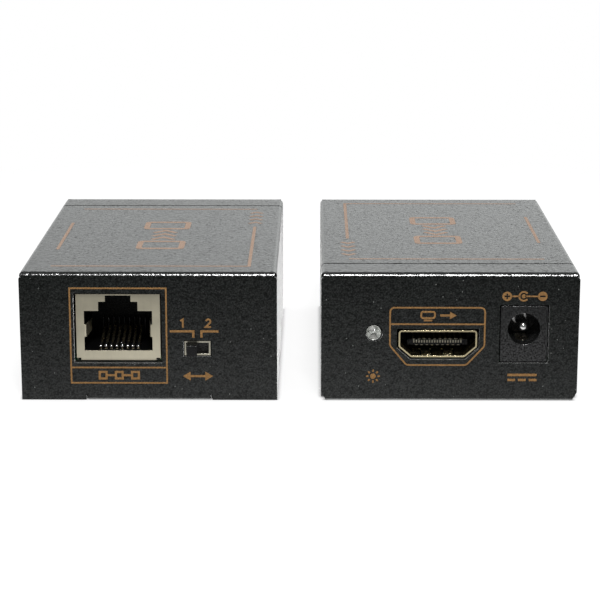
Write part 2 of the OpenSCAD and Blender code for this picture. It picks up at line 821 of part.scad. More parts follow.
module video_contacts() {
  low = tongue_z - tongue_t - contact_t;
  behind = vid_d + 3 * contact_t;
  color([0.85, 0.68, 0.32]) {
    for (i = [0:contacts_over - 1])
      translate([(i - (contacts_over - 1) / 2) * contact_pitch, 0, 0])
        along_x(contact_w) contact_outline(tongue_z, behind + 2 * contact_t);
    for (i = [0:contacts_under - 1])
      translate([(i - (contacts_under - 1) / 2) * contact_pitch, 0, 0])
        along_x(contact_w) contact_outline(low, behind);
  }
}

// Power socket

module pow_board_holes(depth) {
  translate([0, pow_rear_pin_y(), 0]) cylinder(h = depth, r = pin_hole_r * 2);
  translate([0, pow_leaf_pin_y(), 0]) cylinder(h = depth, r = pin_hole_r * 2);
}

function pow_rear_pin_y() = pow_d + leaf_t / 2;
function pow_leaf_pin_y() = pow_bore_d - leaf_t * 2;

module power_body() {
  body_r = pow_w / 2 - fit;
  color([0.06, 0.06, 0.06]) difference() {
    union() {
      along_y(pow_face_d) face_outline();
      translate([0, 0, pow_z]) bar_y(body_r, pow_d);
      block(2 * body_r, pow_d, pow_z);
    }
    translate([0, -over, pow_z]) bar_y(pow_bore_r, pow_bore_d + over);
    translate([0, 0, pow_z]) bar_y(collar_r + fit / 2, pow_d + over);
    // Slot under the bore for the contact leaf, open below
    translate([0, pow_face_d, -over])
      block(leaf_w + 2 * fit, pow_bore_d - pow_face_d, pow_z - pow_bore_r + over + leaf_rise);
  }
}

// Face of the power socket with softly rounded corners
module face_outline() {
  polygon(rounded_outline([
    [-pow_w / 2, 0], [pow_w / 2, 0], [pow_w / 2, pow_h], [-pow_w / 2, pow_h]
  ], soft_r));
}

// Centre pin with a round tip, a thicker root in the rear wall, and a terminal behind
module power_pin() {
  tip = pow_pin_setback + pow_pin_r;
  color([0.8, 0.8, 0.8]) translate([0, 0, pow_z]) {
    translate([0, tip, 0]) bar_y(pow_pin_r, pow_bore_d - tip);
    translate([0, tip, 0]) sphere(pow_pin_r);
    translate([0, pow_bore_d, 0]) bar_y(collar_r, pow_d - pow_bore_d);
    translate([0, pow_d, -pow_z - board_t - pin_tail])
      block(pow_pin_r, leaf_t, pow_z + board_t + pin_tail + pow_pin_r);
  }
}

// Leaf that presses on the plug from below, with its terminal
module power_leaf() {
  seat = pow_z - pow_bore_r - leaf_t;
  front = pow_face_d + fit;
  pin_y = pow_leaf_pin_y();
  knee = (front + pin_y) / 2;
  color([0.8, 0.76, 0.66]) {
    along_x(leaf_w) polygon([
      [front, seat], [knee, seat + leaf_rise], [pin_y, seat], [pin_y, seat + leaf_t],
      [knee, seat + leaf_rise + leaf_t], [front, seat + leaf_t]
    ]);
    translate([0, pin_y - leaf_t / 2, -board_t - pin_tail])
      block(pow_pin_r, leaf_t, seat + leaf_t + board_t + pin_tail);
  }
}

// Indicator

function lead_y() = lamp_back + lamp_flange_t + lead_t * 3;

module lamp_board_holes(depth) {
  mirrored_x() translate([lead_pitch / 2, lead_y(), 0]) cylinder(h = depth, r = pin_hole_r);
}

module lamp() {
  color([0.9, 0.9, 0.88]) translate([0, 0, lamp_z]) {
    translate([0, lamp_r - lamp_out, 0]) sphere(lamp_r);
    translate([0, lamp_r - lamp_out, 0]) bar_y(lamp_r, lamp_back + lamp_out - lamp_r);
    translate([0, lamp_back, 0]) bar_y(lamp_flange_r, lamp_flange_t);
  }
}

module lamp_leads() {
  start = lamp_back + lamp_flange_t;
  bend = lead_t * 1.5;
  end_y = lead_y() + lead_t / 2;
  color([0.75, 0.75, 0.75]) mirrored_x() translate([lead_pitch / 2, 0, 0]) along_x(lead_t) {
    translate([start, lamp_z - lead_t / 2]) square([end_y - bend - start, lead_t]);
    translate([end_y - bend, lamp_z + lead_t / 2 - bend]) fold_quarter(bend - lead_t, bend);
    translate([end_y - lead_t, -board_t - pin_tail])
      square([lead_t, board_t + pin_tail + lamp_z + lead_t / 2 - bend]);
  }
}

// Parts on the board

// Chip with rows of bent legs: n legs a side, along both sides or all four
module chip(w, l, h, n, sides) {
  leg_w = w / (2.6 * n);
  pitch = w * 0.84 / (n - 1);
  leg_l = leg_w * 2.2;
  lift = h * 0.1;
  translate([0, -l / 2, lift]) block(w, l, h - lift);
  for (a = [0:180 / sides * 2:359]) rotate([0, 0, a])
    for (i = [0:n - 1]) translate([(i - (n - 1) / 2) * pitch, l / 2, 0]) {
      block(leg_w, leg_l, lift);
      block(leg_w, leg_w / 2, h / 2);
    }
}

// Place on the board, in shares of its width and length from its middle
module on_board(share) translate([board_w * share.x, board_l * share.y, top_z]) children();

module main_chip() {
  color([0.09, 0.09, 0.1]) on_board([0, 0.02]) chip(main_chip_w, main_chip_w, main_chip_h, 16, 4);
}

module small_chips() {
  color([0.1, 0.1, 0.11]) for (share = [[-0.3, -0.12], [0.3, 0.12], [0.3, -0.12]])
    on_board(share) chip(small_chip_w, small_chip_l, small_chip_h, 4, 2);
}

module capacitors() {
  color([0.62, 0.62, 0.64]) for (share = [[-0.38, 0.02], [-0.2, 0.13], [0.38, -0.02]])
    on_board(share) {
      cylinder(h = can_h, r = can_r);
      translate([0, -can_r, 0]) block(2 * can_r, 2 * can_r, can_foot_h);
    }
}

module crystal() {
  x = crystal_l / 2;
  y = crystal_w / 2;
  color([0.8, 0.8, 0.78]) on_board([0.1, -0.13]) linear_extrude(crystal_h)
    polygon(rounded_outline([[-x, -y], [x, -y], [x, y], [-x, y]], y * 0.95));
}

// What each node shows

module tx_top_cover() in_tx() top_cover(true);
module tx_base_tray() in_tx() base_tray();
module tx_cover_screws() in_tx() cover_screws();
module tx_circuit_board() in_tx() circuit_board(true);
module tx_standoffs() in_tx() standoffs();
module tx_board_screws() in_tx() board_screws();
module tx_network_shield() in_tx() at_network_end(net_x, net_setback) network_shield();
module tx_network_body() in_tx() at_network_end(net_x, net_setback) network_body();
module tx_network_contacts() in_tx() at_network_end(net_x, net_setback) network_contacts();
module tx_selector_frame() in_tx() at_network_end(sel_x, sel_setback) selector_frame();
module tx_selector_base() in_tx() at_network_end(sel_x, sel_setback) selector_base();
module tx_selector_slider() in_tx() at_network_end(sel_x, sel_setback) selector_slider();
module tx_selector_terminals() in_tx() at_network_end(sel_x, sel_setback) selector_terminals();
module tx_video_shell() in_tx() at_video_end(vid_x, vid_setback) video_shell();
module tx_video_tongue() in_tx() at_video_end(vid_x, vid_setback) video_tongue();
module tx_video_contacts() in_tx() at_video_end(vid_x, vid_setback) video_contacts();
module tx_power_body() in_tx() at_video_end(pow_x, pow_setback) power_body();
module tx_power_pin() in_tx() at_video_end(pow_x, pow_setback) power_pin();
module tx_power_leaf() in_tx() at_video_end(pow_x, pow_setback) power_leaf();
module tx_lamp() in_tx() at_video_end(lamp_x, 0) lamp();
module tx_lamp_leads() in_tx() at_video_end(lamp_x, 0) lamp_leads();
module tx_main_chip() in_tx() main_chip();
module tx_small_chips() in_tx() small_chips();
module tx_capacitors() in_tx() capacitors();
module tx_crystal() in_tx() crystal();
module rx_top_cover() in_rx() top_cover(false);
module rx_base_tray() in_rx() base_tray();
module rx_cover_screws() in_rx() cover_screws();
module rx_circuit_board() in_rx() circuit_board(false);
module rx_standoffs() in_rx() standoffs();
module rx_board_screws() in_rx() board_screws();
module rx_network_shield() in_rx() at_network_end(net_x, net_setback) network_shield();
module rx_network_body() in_rx() at_network_end(net_x, net_setback) network_body();
module rx_network_contacts() in_rx() at_network_end(net_x, net_setback) network_contacts();
module rx_video_shell() in_rx() at_video_end(vid_x, vid_setback) video_shell();
module rx_video_tongue() in_rx() at_video_end(vid_x, vid_setback) video_tongue();
module rx_video_contacts() in_rx() at_video_end(vid_x, vid_setback) video_contacts();
module rx_power_body() in_rx() at_video_end(pow_x, pow_setback) power_body();
module rx_power_pin() in_rx() at_video_end(pow_x, pow_setback) power_pin();
module rx_power_leaf() in_rx() at_video_end(pow_x, pow_setback) power_leaf();
module rx_lamp() in_rx() at_video_end(lamp_x, 0) lamp();
module rx_lamp_leads() in_rx() at_video_end(lamp_x, 0) lamp_leads();
module rx_main_chip() in_rx() main_chip();
module rx_small_chips() in_rx() small_chips();
module rx_capacitors() in_rx() capacitors();
module rx_crystal() in_rx() crystal();

tx_top_cover();
tx_base_tray();
tx_cover_screws();
tx_circuit_board();
tx_standoffs();
tx_board_screws();
tx_network_shield();
tx_network_body();
tx_network_contacts();
tx_selector_frame();
tx_selector_base();
tx_selector_slider();
tx_selector_terminals();
tx_video_shell();
tx_video_tongue();
tx_video_contacts();
tx_power_body();
tx_power_pin();
tx_power_leaf();
tx_lamp();
tx_lamp_leads();
tx_main_chip();
tx_small_chips();
tx_capacitors();
tx_crystal();
rx_top_cover();
rx_base_tray();
rx_cover_screws();
rx_circuit_board();
rx_standoffs();
rx_board_screws();
rx_network_shield();
rx_network_body();
rx_network_contacts();
rx_video_shell();
rx_video_tongue();
rx_video_contacts();
rx_power_body();
rx_power_pin();
rx_power_leaf();
rx_lamp();
rx_lamp_leads();
rx_main_chip();
rx_small_chips();
rx_capacitors();
rx_crystal();
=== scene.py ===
import math

import bmesh
import bpy
from mathutils import Euler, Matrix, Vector
from mathutils.geometry import tessellate_polygon


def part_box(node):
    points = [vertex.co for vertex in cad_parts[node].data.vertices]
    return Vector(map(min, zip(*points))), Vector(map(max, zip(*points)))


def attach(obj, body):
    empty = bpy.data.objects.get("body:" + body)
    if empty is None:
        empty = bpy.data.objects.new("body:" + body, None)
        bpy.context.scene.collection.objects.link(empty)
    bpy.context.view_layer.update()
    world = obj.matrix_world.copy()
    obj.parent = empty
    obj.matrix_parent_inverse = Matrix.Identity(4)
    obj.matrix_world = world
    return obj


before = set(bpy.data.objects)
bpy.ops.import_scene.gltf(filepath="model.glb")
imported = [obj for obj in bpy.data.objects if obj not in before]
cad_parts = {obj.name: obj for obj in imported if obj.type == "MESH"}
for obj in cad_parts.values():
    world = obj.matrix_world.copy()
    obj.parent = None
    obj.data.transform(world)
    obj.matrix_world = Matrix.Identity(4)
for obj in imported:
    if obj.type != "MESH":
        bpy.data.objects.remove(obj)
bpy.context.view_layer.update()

MM = 0.001

# The pair, in millimetres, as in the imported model
PITCH = 57.4
BOX_L = 76.0
BOX_H = 25.0
UNITS = ("tx", "rx")
BODY = "box_pair"

# On an end face, in millimetres: u from its middle, z over the floor, and front behind the face
BOARD_Z = 7.6
NETWORK_U = -5.85
WIRES, WIRE_PITCH = 8, 1.03
NOSE_Z, NOSE_FRONT = 9.98, 2.2
TONGUE_U, TONGUE_Z, TONGUE_FRONT = -2.25, 11.1, 1.7
CONTACTS, CONTACT_PITCH = 19, 0.5
LAMP_U, LAMP_Z = -14.43, 13.3

# Camera, fitted to the corners of both boxes: metres, degrees, and millimetres for the lens
CAMERA_PLACE = (0.0028, -0.4053, 0.1079)
CAMERA_PITCH = 13.5
CAMERA_YAW = 0.41
CAMERA_LENS = 119.5
CAMERA_SENSOR = 36.0

# Printed ink, in millimetres: how far it stands over the coat, and how deep it bites into it
INK_OUT = 0.02
INK_IN = 0.01


# Node trees

# A fold shows from 0 to 1 as its face turns away from square, in cosines
FOLD_TURN = (0.0, 1.0, 0.985, 0.90)


class Tree:
    """The node tree of a material or world, with a short call for each kind of node."""

    def __init__(self, owner, output, coords):
        owner.use_nodes = True
        self.owner = owner
        self.nodes = owner.node_tree.nodes
        self.links = owner.node_tree.links
        self.nodes.clear()
        self.output = self.nodes.new(output)
        self.coords = self.nodes.new("ShaderNodeTexCoord").outputs[coords]

    def put(self, socket, value):
        if isinstance(value, bpy.types.NodeSocket):
            self.links.new(value, socket)
        elif isinstance(value, tuple) and len(value) == 3 and socket.type == "RGBA":
            socket.default_value = (*value, 1)
        else:
            socket.default_value = value

    def add(self, kind, inputs=(), **settings):
        node = self.nodes.new(kind)
        for key, value in settings.items():
            setattr(node, key, value)
        for key, value in dict(inputs).items():
            self.put(node.inputs[key], value)
        return node

    def noise(self, size, detail=2.0, rough=0.5, vector=None, distortion=0.0):
        """Noise whose cells are size millimetres wide."""
        node = self.add("ShaderNodeTexNoise", {
            "Vector": vector or self.coords, "Scale": 1 / (size * MM), "Detail": detail,
            "Roughness": rough, "Distortion": distortion})
        return node.outputs["Fac"]

    def cells(self, size):
        """Voronoi cells that are size millimetres wide."""
        return self.add("ShaderNodeTexVoronoi", {"Vector": self.coords, "Scale": 1 / (size * MM)}).outputs

    def stretched(self, x, y, z):
        """Object coordinates scaled along each axis, for brushed and drawn metal."""
        return self.add("ShaderNodeMapping", {"Vector": self.coords, "Scale": (x, y, z)}).outputs["Vector"]

    def ramp(self, fac, *stops):
        """Colour ramp from (place, colour or grey level) stops."""
        node = self.add("ShaderNodeValToRGB", {"Fac": fac})
        elements = node.color_ramp.elements
        while len(elements) < len(stops):
            elements.new(0.5)
        for element, (place, colour) in zip(elements, stops):
            element.position = place
            element.color = (*colour, 1) if isinstance(colour, tuple) else (colour, colour, colour, 1)
        return node.outputs["Color"]

    def math(self, operation, a, b=0.0, clamp=False):
        node = self.add("ShaderNodeMath", operation=operation, use_clamp=clamp)
        self.put(node.inputs[0], a)
        self.put(node.inputs[1], b)
        return node.outputs[0]

    def mix(self, fac, a, b, blend="MIX"):
        node = self.add("ShaderNodeMix", data_type="RGBA", blend_type=blend)
        self.put(node.inputs[0], fac)
        self.put(node.inputs[6], a)
        self.put(node.inputs[7], b)
        return node.outputs[2]

    def level(self, fac, low, high, start=0.0, end=1.0):
        """A number that goes from low to high as fac goes from start to end."""
        node = self.add("ShaderNodeMapRange", {
            "Value": fac, "From Min": start, "From Max": end, "To Min": low, "To Max": high})
        return node.outputs["Result"]

    def product(self, first, *others):
        """All of these numbers multiplied together."""
        for other in others:
            first = self.math("MULTIPLY", first, other)
        return first

    def largest(self, first, *others):
        for other in others:
            first = self.math("MAXIMUM", first, other)
        return first

    def soft_edges(self, radius):
        """Normal that rounds sharp edges off, radius millimetres wide."""
        return self.add("ShaderNodeBevel", {"Radius": radius * MM}, samples=6).outputs["Normal"]

    def bump(self, height, depth, normal=None):
        """Normal bent by a height pattern that is depth millimetres deep."""
        inputs = {"Height": height, "Distance": depth * MM}
        if normal is not None:
            inputs["Normal"] = normal
        return self.add("ShaderNodeBump", inputs).outputs["Normal"]

    def face_normal(self):
        return self.add("ShaderNodeNewGeometry").outputs["Normal"]

    def parts(self, vector):
        return self.add("ShaderNodeSeparateXYZ", {"Vector": vector}).outputs

    def sharp_edge_mask(self, rounded):
        """1 along sharp edges and 0 on flat faces."""
        dot = self.add("ShaderNodeVectorMath", {0: rounded, 1: self.face_normal()}, operation="DOT_PRODUCT")
        return self.math("SUBTRACT", 1.0, dot.outputs["Value"], clamp=True)

    def bends(self):
        """1 on folds, and 0 on faces that lie square to the box."""
        size = self.add("ShaderNodeVectorMath", {0: self.face_normal()}, operation="ABSOLUTE")
        parts = self.parts(size.outputs["Vector"])
        return self.level(self.largest(parts["X"], parts["Y"], parts["Z"]), *FOLD_TURN)

    def principled(self, **inputs):
        """The finished material, from a Principled shader with these inputs."""
        names = {key.replace("_", " ").title().replace("Ior", "IOR"): value for key, value in inputs.items()}
        return self.done(self.add("ShaderNodeBsdfPrincipled", names).outputs["BSDF"])

    def done(self, shader):
        self.links.new(shader, self.output.inputs["Surface"])
        return self.owner


def material_tree(name):
    return Tree(bpy.data.materials.new(name), "ShaderNodeOutputMaterial", "Object")


# Materials of the two boxes

# Powder coat, in millimetres: grain and swell of its skin, and its softened edges
COAT_GRAIN = 0.34
COAT_GRAIN_DEPTH = 0.035
COAT_SWELL = 0.80
COAT_SWELL_DEPTH = 0.09
COAT_EDGE = 0.08

# Its colours in the pits and on the peaks of the grain, on specks, the lips' painted highlight and the seam's painted
# shade
COAT_PIT = (0.0034, 0.0042, 0.0038)
COAT_PEAK = (0.0140, 0.0165, 0.0153)
COAT_SPECK = (0.13, 0.135, 0.13)
COAT_LIP_HIGHLIGHT = (0.50, 0.51, 0.50)
COAT_SEAM_SHADE = (0.002, 0.002, 0.002)

# Its faint clouds: size in millimetres, and the shade of the darkest
CLOUD_SIZE = 9.0
CLOUD_SHADE = 0.84

# Its specks: the cells that they lie in, their radius as a share of a cell, and the share of cells without one
SPECK_CELL = 1.3
SPECK_RADIUS = 0.085
SPECK_BARE = 0.70

# Its lips with a painted highlight: how far out and how high they lie, in millimetres, and how fast it sets in on an
# edge
LIP_HIGHLIGHT_FROM = 37.1
LIP_HIGHLIGHT_ABOVE = 3.2
LIP_HIGHLIGHT_GAIN = 12.0

# The painted shade beside the seam: width in millimetres, how dark it is, and the shine and sheen off it and on it
SEAM_SHADE_WIDTH = 0.42
SEAM_SHADE_DEPTH = 0.8
SEAM_SHINE = (1.0, 0.15)
SEAM_SHEEN = (0.60, 0.1)

# Its shine and roughness from the pits to the peaks of the grain, the sheen's roughness, and the shine folds add
COAT_SHINE = (-0.10, 0.80)
COAT_ROUGH = (0.18, 0.30)
SHEEN_ROUGH = 0.35
FOLD_SHINE = 2.4

# The glitter on its flat tops: how flat they are, size in millimetres, added shine, roughness taken off, and the
# least roughness left
FLAT_TOP = 0.95
GLITTER_SIZE = 0.34
GLITTER_SHINE = 1.2
GLITTER_POLISH = 0.12
SMOOTHEST = 0.08


def coat_normal(tree):
    """Orange-peel grain of a baked powder coat, over softened edges."""
    rounded = tree.soft_edges(COAT_EDGE)
    domes = tree.math("SUBTRACT", 1.0, tree.cells(COAT_GRAIN)["Distance"])
    fine = tree.noise(COAT_GRAIN * 0.5, detail=2.0, rough=0.6)
    grain = tree.math("ADD", tree.math("MULTIPLY", domes, 0.5), tree.math("MULTIPLY", fine, 0.45))
    swell = tree.noise(COAT_SWELL, detail=1.0)
    wavy = tree.bump(swell, COAT_SWELL_DEPTH, rounded)
    return rounded, grain, swell, tree.bump(grain, COAT_GRAIN_DEPTH, wavy)


def coat_specks(tree):
    """1 on single bright specks."""
    cell = tree.cells(SPECK_CELL)
    near = tree.math("LESS_THAN", cell["Distance"], SPECK_RADIUS)
    chance = tree.add("ShaderNodeSeparateColor", {"Color": cell["Color"]}).outputs["Red"]
    return tree.math("MULTIPLY", near, tree.math("GREATER_THAN", chance, SPECK_BARE))


def painted_lip_highlights(tree, where, rounded, upward, grain):
    """1 on the upward edges of the end panels' cut-outs, where a highlight is painted into the coat's colour."""
    at_end = tree.math("GREATER_THAN", tree.math("ABSOLUTE", where["Y"]), LIP_HIGHLIGHT_FROM * MM)
    above = tree.math("GREATER_THAN", where["Z"], LIP_HIGHLIGHT_ABOVE * MM)
    patchy = tree.product(tree.sharp_edge_mask(rounded), tree.level(grain, 0.0, LIP_HIGHLIGHT_GAIN), at_end, above)
    return tree.math("MULTIPLY", patchy, upward, clamp=True)


def painted_seam_shade(tree, where, rounded):
    """1 along the seam between cover and tray, where a dark line of shade is painted on the coat, but not on the
    underside.
    """
    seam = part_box("tx_top_cover")[1][1]
    along = tree.math("MULTIPLY", where["Y"], tree.math("SIGN", where["X"]))
    away = tree.math("ABSOLUTE", tree.math("ADD", along, seam))
    shade_line = tree.level(away, 1.0, 0.0, SEAM_SHADE_WIDTH * 0.4 * MM, SEAM_SHADE_WIDTH * MM)
    return tree.math("MULTIPLY", shade_line, tree.math("GREATER_THAN", tree.parts(rounded)["Z"], -0.5))


def powder_coat(name):
    """Charcoal powder coat: grain, faint clouds, single bright specks, bright folds, painted lip highlights and
    painted seam shade.
    """
    tree = material_tree(name)
    rounded, grain, swell, normal = coat_normal(tree)
    where = tree.parts(tree.coords)
    upward = tree.math("MAXIMUM", tree.parts(rounded)["Z"], 0.0)
    shade_line = painted_seam_shade(tree, where, rounded)

    clouds = tree.ramp(tree.noise(CLOUD_SIZE, detail=3.0), (0.3, CLOUD_SHADE), (0.7, 1.0))
    base = tree.ramp(grain, (0.38, COAT_PIT), (0.66, COAT_PEAK))
    base = tree.mix(1.0, base, clouds, "MULTIPLY")
    base = tree.mix(coat_specks(tree), base, COAT_SPECK)
    # Painted highlight: pale grey on the upward lips of the cut-outs
    base = tree.mix(painted_lip_highlights(tree, where, rounded, upward, grain), base, COAT_LIP_HIGHLIGHT)
    # Painted shade: a near-black line along the seam, where the gap's shadow falls
    base = tree.mix(tree.math("MULTIPLY", shade_line, SEAM_SHADE_DEPTH), base, COAT_SEAM_SHADE)

    mottle = tree.math("ADD", tree.math("MULTIPLY", grain, 0.65), tree.math("MULTIPLY", swell, 0.35))
    bent = tree.math("MULTIPLY", tree.bends(), tree.math("GREATER_THAN", upward, 0.0))
    shine = tree.math("ADD", tree.level(mottle, *COAT_SHINE), tree.math("MULTIPLY", bent, FOLD_SHINE))
    # Less shine along the seam, as part of its painted shade
    shine = tree.math("MULTIPLY", shine, tree.level(shade_line, *SEAM_SHINE))
    spots = tree.noise(GLITTER_SIZE, detail=1.0, vector=tree.stretched(1.0, 0.3, 1.0))
    flat_top = tree.math("GREATER_THAN", upward, FLAT_TOP)
    glitter = tree.math("MULTIPLY", tree.math("SUBTRACT", spots, 0.5), flat_top)
    shine = tree.math("ADD", shine, tree.math("MULTIPLY", glitter, GLITTER_SHINE))
    rough = tree.math("SUBTRACT", tree.level(grain, *COAT_ROUGH), tree.math("MULTIPLY", glitter, GLITTER_POLISH))
    return tree.principled(
        base_color=base, roughness=tree.math("MAXIMUM", rough, SMOOTHEST), normal=normal,
        specular_ior_level=tree.math("MAXIMUM", shine, 0.0),
        sheen_weight=tree.level(shade_line, *SEAM_SHEEN), sheen_roughness=SHEEN_ROUGH)


def shaded(colour, share):
    """A share of a colour, up to white."""
    return tuple(min(1.0, c * share) for c in colour)


def print_ink(name, colour, sheen):
    """Screen-printed ink that follows the coat's grain, is duller than it and thins out on its peaks."""
    tree = material_tree(name)
    _, grain, swell, normal = coat_normal(tree)
    base = tree.ramp(grain, (0.46, shaded(colour, 0.72)), (0.62, colour))
    pits = tree.ramp(tree.noise(0.19, detail=2.0), (0.66, 0.0), (0.76, 0.55))
    base = tree.mix(pits, base, (0.02, 0.018, 0.015))
    return tree.principled(
        base_color=base, roughness=tree.level(swell, 0.5, 0.66), specular_ior_level=0.22, normal=normal,
        sheen_weight=sheen, sheen_roughness=0.4)


def metal(name, colour, rough, grain=(1.0, 1.0, 1.0), grain_size=0.5, depth=0.004, spread=0.12, edge=0.08,
          stain=0.85):
    """Plated or bare sheet metal with a drawn grain, cloudy stains and softened edges."""
    tree = material_tree(name)
    rounded = tree.soft_edges(edge)
    lines = tree.noise(grain_size, detail=3.0, vector=tree.stretched(*grain))
    stains = tree.noise(2.6, detail=3.0, rough=0.6)
    shade = tree.ramp(stains, (0.3, shaded(colour, stain)), (0.68, colour))
    base = tree.mix(tree.level(lines, 0.0, 0.5), shade, shaded(colour, 1.12))
    roughness = tree.math("ADD", tree.level(stains, rough - spread / 2, rough + spread / 2),
                          tree.level(lines, 0.0, spread / 3))
    return tree.principled(
        base_color=base, metallic=1.0, roughness=roughness, normal=tree.bump(lines, depth, rounded))


def moulded_plastic(name, colour, rough, specular=0.5, depth=0.004, grain=0.25, edge=0.08, glint=0.0):
    """Moulded plastic with a fine matte skin, slow flow marks, a little dust and shiny upper edges."""
    tree = material_tree(name)
    rounded = tree.soft_edges(edge)
    skin = tree.noise(grain, detail=2.0)
    fleck = tree.ramp(skin, (0.36, 0.15), (0.62, 1.0))
    flow = tree.noise(3.5, detail=2.0, distortion=0.6)
    dust = tree.ramp(tree.noise(0.12, detail=1.0), (0.74, 0.0), (0.80, 0.6))
    base = tree.mix(tree.level(flow, 0.0, 1.0), shaded(colour, 0.75), shaded(colour, 1.3))
    base = tree.mix(1.0, base, fleck, "MULTIPLY")
    base = tree.mix(tree.math("MULTIPLY", dust, 0.12), base, (0.35, 0.34, 0.32))
    upward = tree.math("MAXIMUM", tree.parts(rounded)["Z"], 0.0)
    polish = tree.math("MINIMUM", tree.product(tree.sharp_edge_mask(rounded), upward, glint * 10), glint)
    shine = tree.math("ADD", tree.level(fleck, specular * 0.1, specular * 1.5), polish)
    return tree.principled(
        base_color=base, roughness=tree.level(flow, rough - 0.05, rough + 0.07), specular_ior_level=shine,
        normal=tree.bump(skin, depth, rounded))


def circuit_board(name):
    """Green solder mask over copper tracks, and bare dark laminate along the cut edges."""
    tree = material_tree(name)
    weave = tree.noise(0.5, vector=tree.stretched(1.0, 1.0, 0.2))
    turned = tree.add("ShaderNodeVectorRotate", {"Vector": tree.coords, "Angle": math.radians(45)},
                      rotation_type="Z_AXIS").outputs["Vector"]
    tracks = tree.add("ShaderNodeTexBrick", {
        "Vector": turned, "Scale": 1 / (2.4 * MM), "Mortar Size": 0.09, "Color1": (0, 0, 0), "Color2": (0, 0, 0),
        "Mortar": (1, 1, 1)}).outputs["Color"]
    base = tree.mix(tree.level(weave, 0.0, 1.0), (0.003, 0.020, 0.009), (0.006, 0.036, 0.015))
    base = tree.mix(tree.math("MULTIPLY", tracks, 0.6), base, (0.016, 0.085, 0.032))
    cut_edge = tree.math("LESS_THAN", tree.math("ABSOLUTE", tree.parts(tree.face_normal())["Z"]), 0.5)
    laminate = tree.mix(tree.level(weave, 0.0, 1.0), (0.004, 0.0045, 0.003), (0.012, 0.013, 0.008))
    base = tree.mix(cut_edge, base, laminate)
    return tree.principled(base_color=base, roughness=0.28, normal=tree.bump(tracks, 0.03, tree.soft_edges(0.1)))


def clear_lens(name):
    """Clear epoxy with faint flow lines and a soft haze."""
    tree = material_tree(name)
    flow = tree.noise(0.9, detail=2.0)
    tint = tree.ramp(flow, (0.3, (0.88, 0.89, 0.88)), (0.7, (0.97, 0.97, 0.96)))
    return tree.principled(
        base_color=tint, roughness=tree.level(flow, 0.0, 0.05), transmission_weight=1.0, ior=1.5,
        normal=tree.bump(flow, 0.01))


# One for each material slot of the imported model
MATERIALS = {
    "powder_coat": powder_coat,
    "black_steel": lambda n: metal(n, (0.10, 0.102, 0.105), 0.36, depth=0.003),
    "board_green": circuit_board,
    "standoff_steel": lambda n: metal(n, (0.62, 0.58, 0.48), 0.32),
    "screw_steel": lambda n: metal(n, (0.60, 0.60, 0.61), 0.28),
    "shield_steel": lambda n: metal(
        n, (0.755, 0.70, 0.54), 0.36, grain=(1.0, 1.0, 0.14), grain_size=0.35, spread=0.14, edge=0.09, stain=0.84),
    "black_plastic": lambda n: moulded_plastic(n, (0.009, 0.009, 0.0095), 0.34, specular=0.42),
    "gold_contacts": lambda n: metal(n, (0.80, 0.70, 0.48), 0.26, spread=0.08, edge=0.07),
    "shell_plate": lambda n: metal(
        n, (0.66, 0.57, 0.36), 0.24, grain=(0.2, 1.0, 1.0), grain_size=0.3, depth=0.002, spread=0.10, edge=0.05),
    "bright_pin": lambda n: metal(
        n, (0.93, 0.92, 0.90), 0.20, grain=(1.0, 0.1, 1.0), grain_size=0.2, depth=0.002, spread=0.06, edge=0.05),
    "spring_metal": lambda n: metal(n, (0.70, 0.64, 0.52), 0.26),
    "clear_lens": clear_lens,
    "tinned_leads": lambda n: metal(n, (0.66, 0.66, 0.66), 0.30, spread=0.16),
    "chip_black": lambda n: moulded_plastic(n, (0.018, 0.018, 0.020), 0.55, specular=0.35, depth=0.010, grain=0.15),
    "capacitor_can": lambda n: metal(n, (0.62, 0.62, 0.64), 0.26, grain=(1.0, 1.0, 0.1)),
    "crystal_can": lambda n: metal(n, (0.68, 0.67, 0.64), 0.24, grain=(0.15, 1.0, 1.0)),
    "selector_steel": lambda n: metal(n, (0.50, 0.475, 0.39), 0.24, edge=0.09),
    "knob_plastic": lambda n: moulded_plastic(
        n, (0.004, 0.004, 0.0045), 0.28, specular=0.30, grain=0.10, edge=0.16, glint=2.0),
}

# For some pieces of a slot: duller, painted-shade plastic deep in a socket, shinier on the power socket, darker or
# brighter metal
SPECIAL_MATERIALS = {
    # Painted shade: the black plastic darker deep in the sockets, where little light reaches
    "deep_plastic": lambda n: moulded_plastic(n, (0.0035, 0.0035, 0.0038), 0.5, specular=0.18),
    "socket_plastic": lambda n: moulded_plastic(
        n, (0.014, 0.0145, 0.015), 0.24, specular=0.55, depth=0.035, grain=0.34, edge=0.26, glint=2.0),
    # Painted shade: the contact metal darker deep in the video socket
    "tip_metal": lambda n: metal(n, (0.30, 0.28, 0.22), 0.32, edge=0.03),
    "cup_metal": lambda n: metal(n, (0.66, 0.66, 0.64), 0.14, edge=0.06),
}
SPECIAL_NODES = {
    "network_body": "deep_plastic", "video_tongue": "deep_plastic", "power_body": "socket_plastic",
    "video_contacts": "tip_metal"}

# Colours of the ink on the ends and on the tops
INK_FRONT = (0.31, 0.165, 0.058)
INK_TOP = (0.50, 0.325, 0.225)


def dress_nodes():
    """Gives every carried-over node its material."""
    made = {slot: make(slot + "_look") for slot, make in {**MATERIALS, **SPECIAL_MATERIALS}.items()}
    for name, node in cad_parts.items():
        special = SPECIAL_NODES.get(name.split("_", 1)[1])
        for place in node.material_slots:
            place.material = made[special or place.material.name.split(".")[0]]
    return made


# Pieces that are made here

def new_object(name, data):
    made = bpy.data.objects.new(name, data)
    bpy.context.scene.collection.objects.link(made)
    return made


def mesh_object(name, bm, material):
    mesh = bpy.data.meshes.new(name)
    bm.to_mesh(mesh)
    bm.free()
    mesh.materials.append(material)
    return new_object(name, mesh)


def new_piece(name, bm, material):
    """A mesh piece that rides on the boxes."""
    bmesh.ops.recalc_face_normals(bm, faces=bm.faces)
    piece = mesh_object(name, bm, material)
    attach(piece, BODY)
    return piece


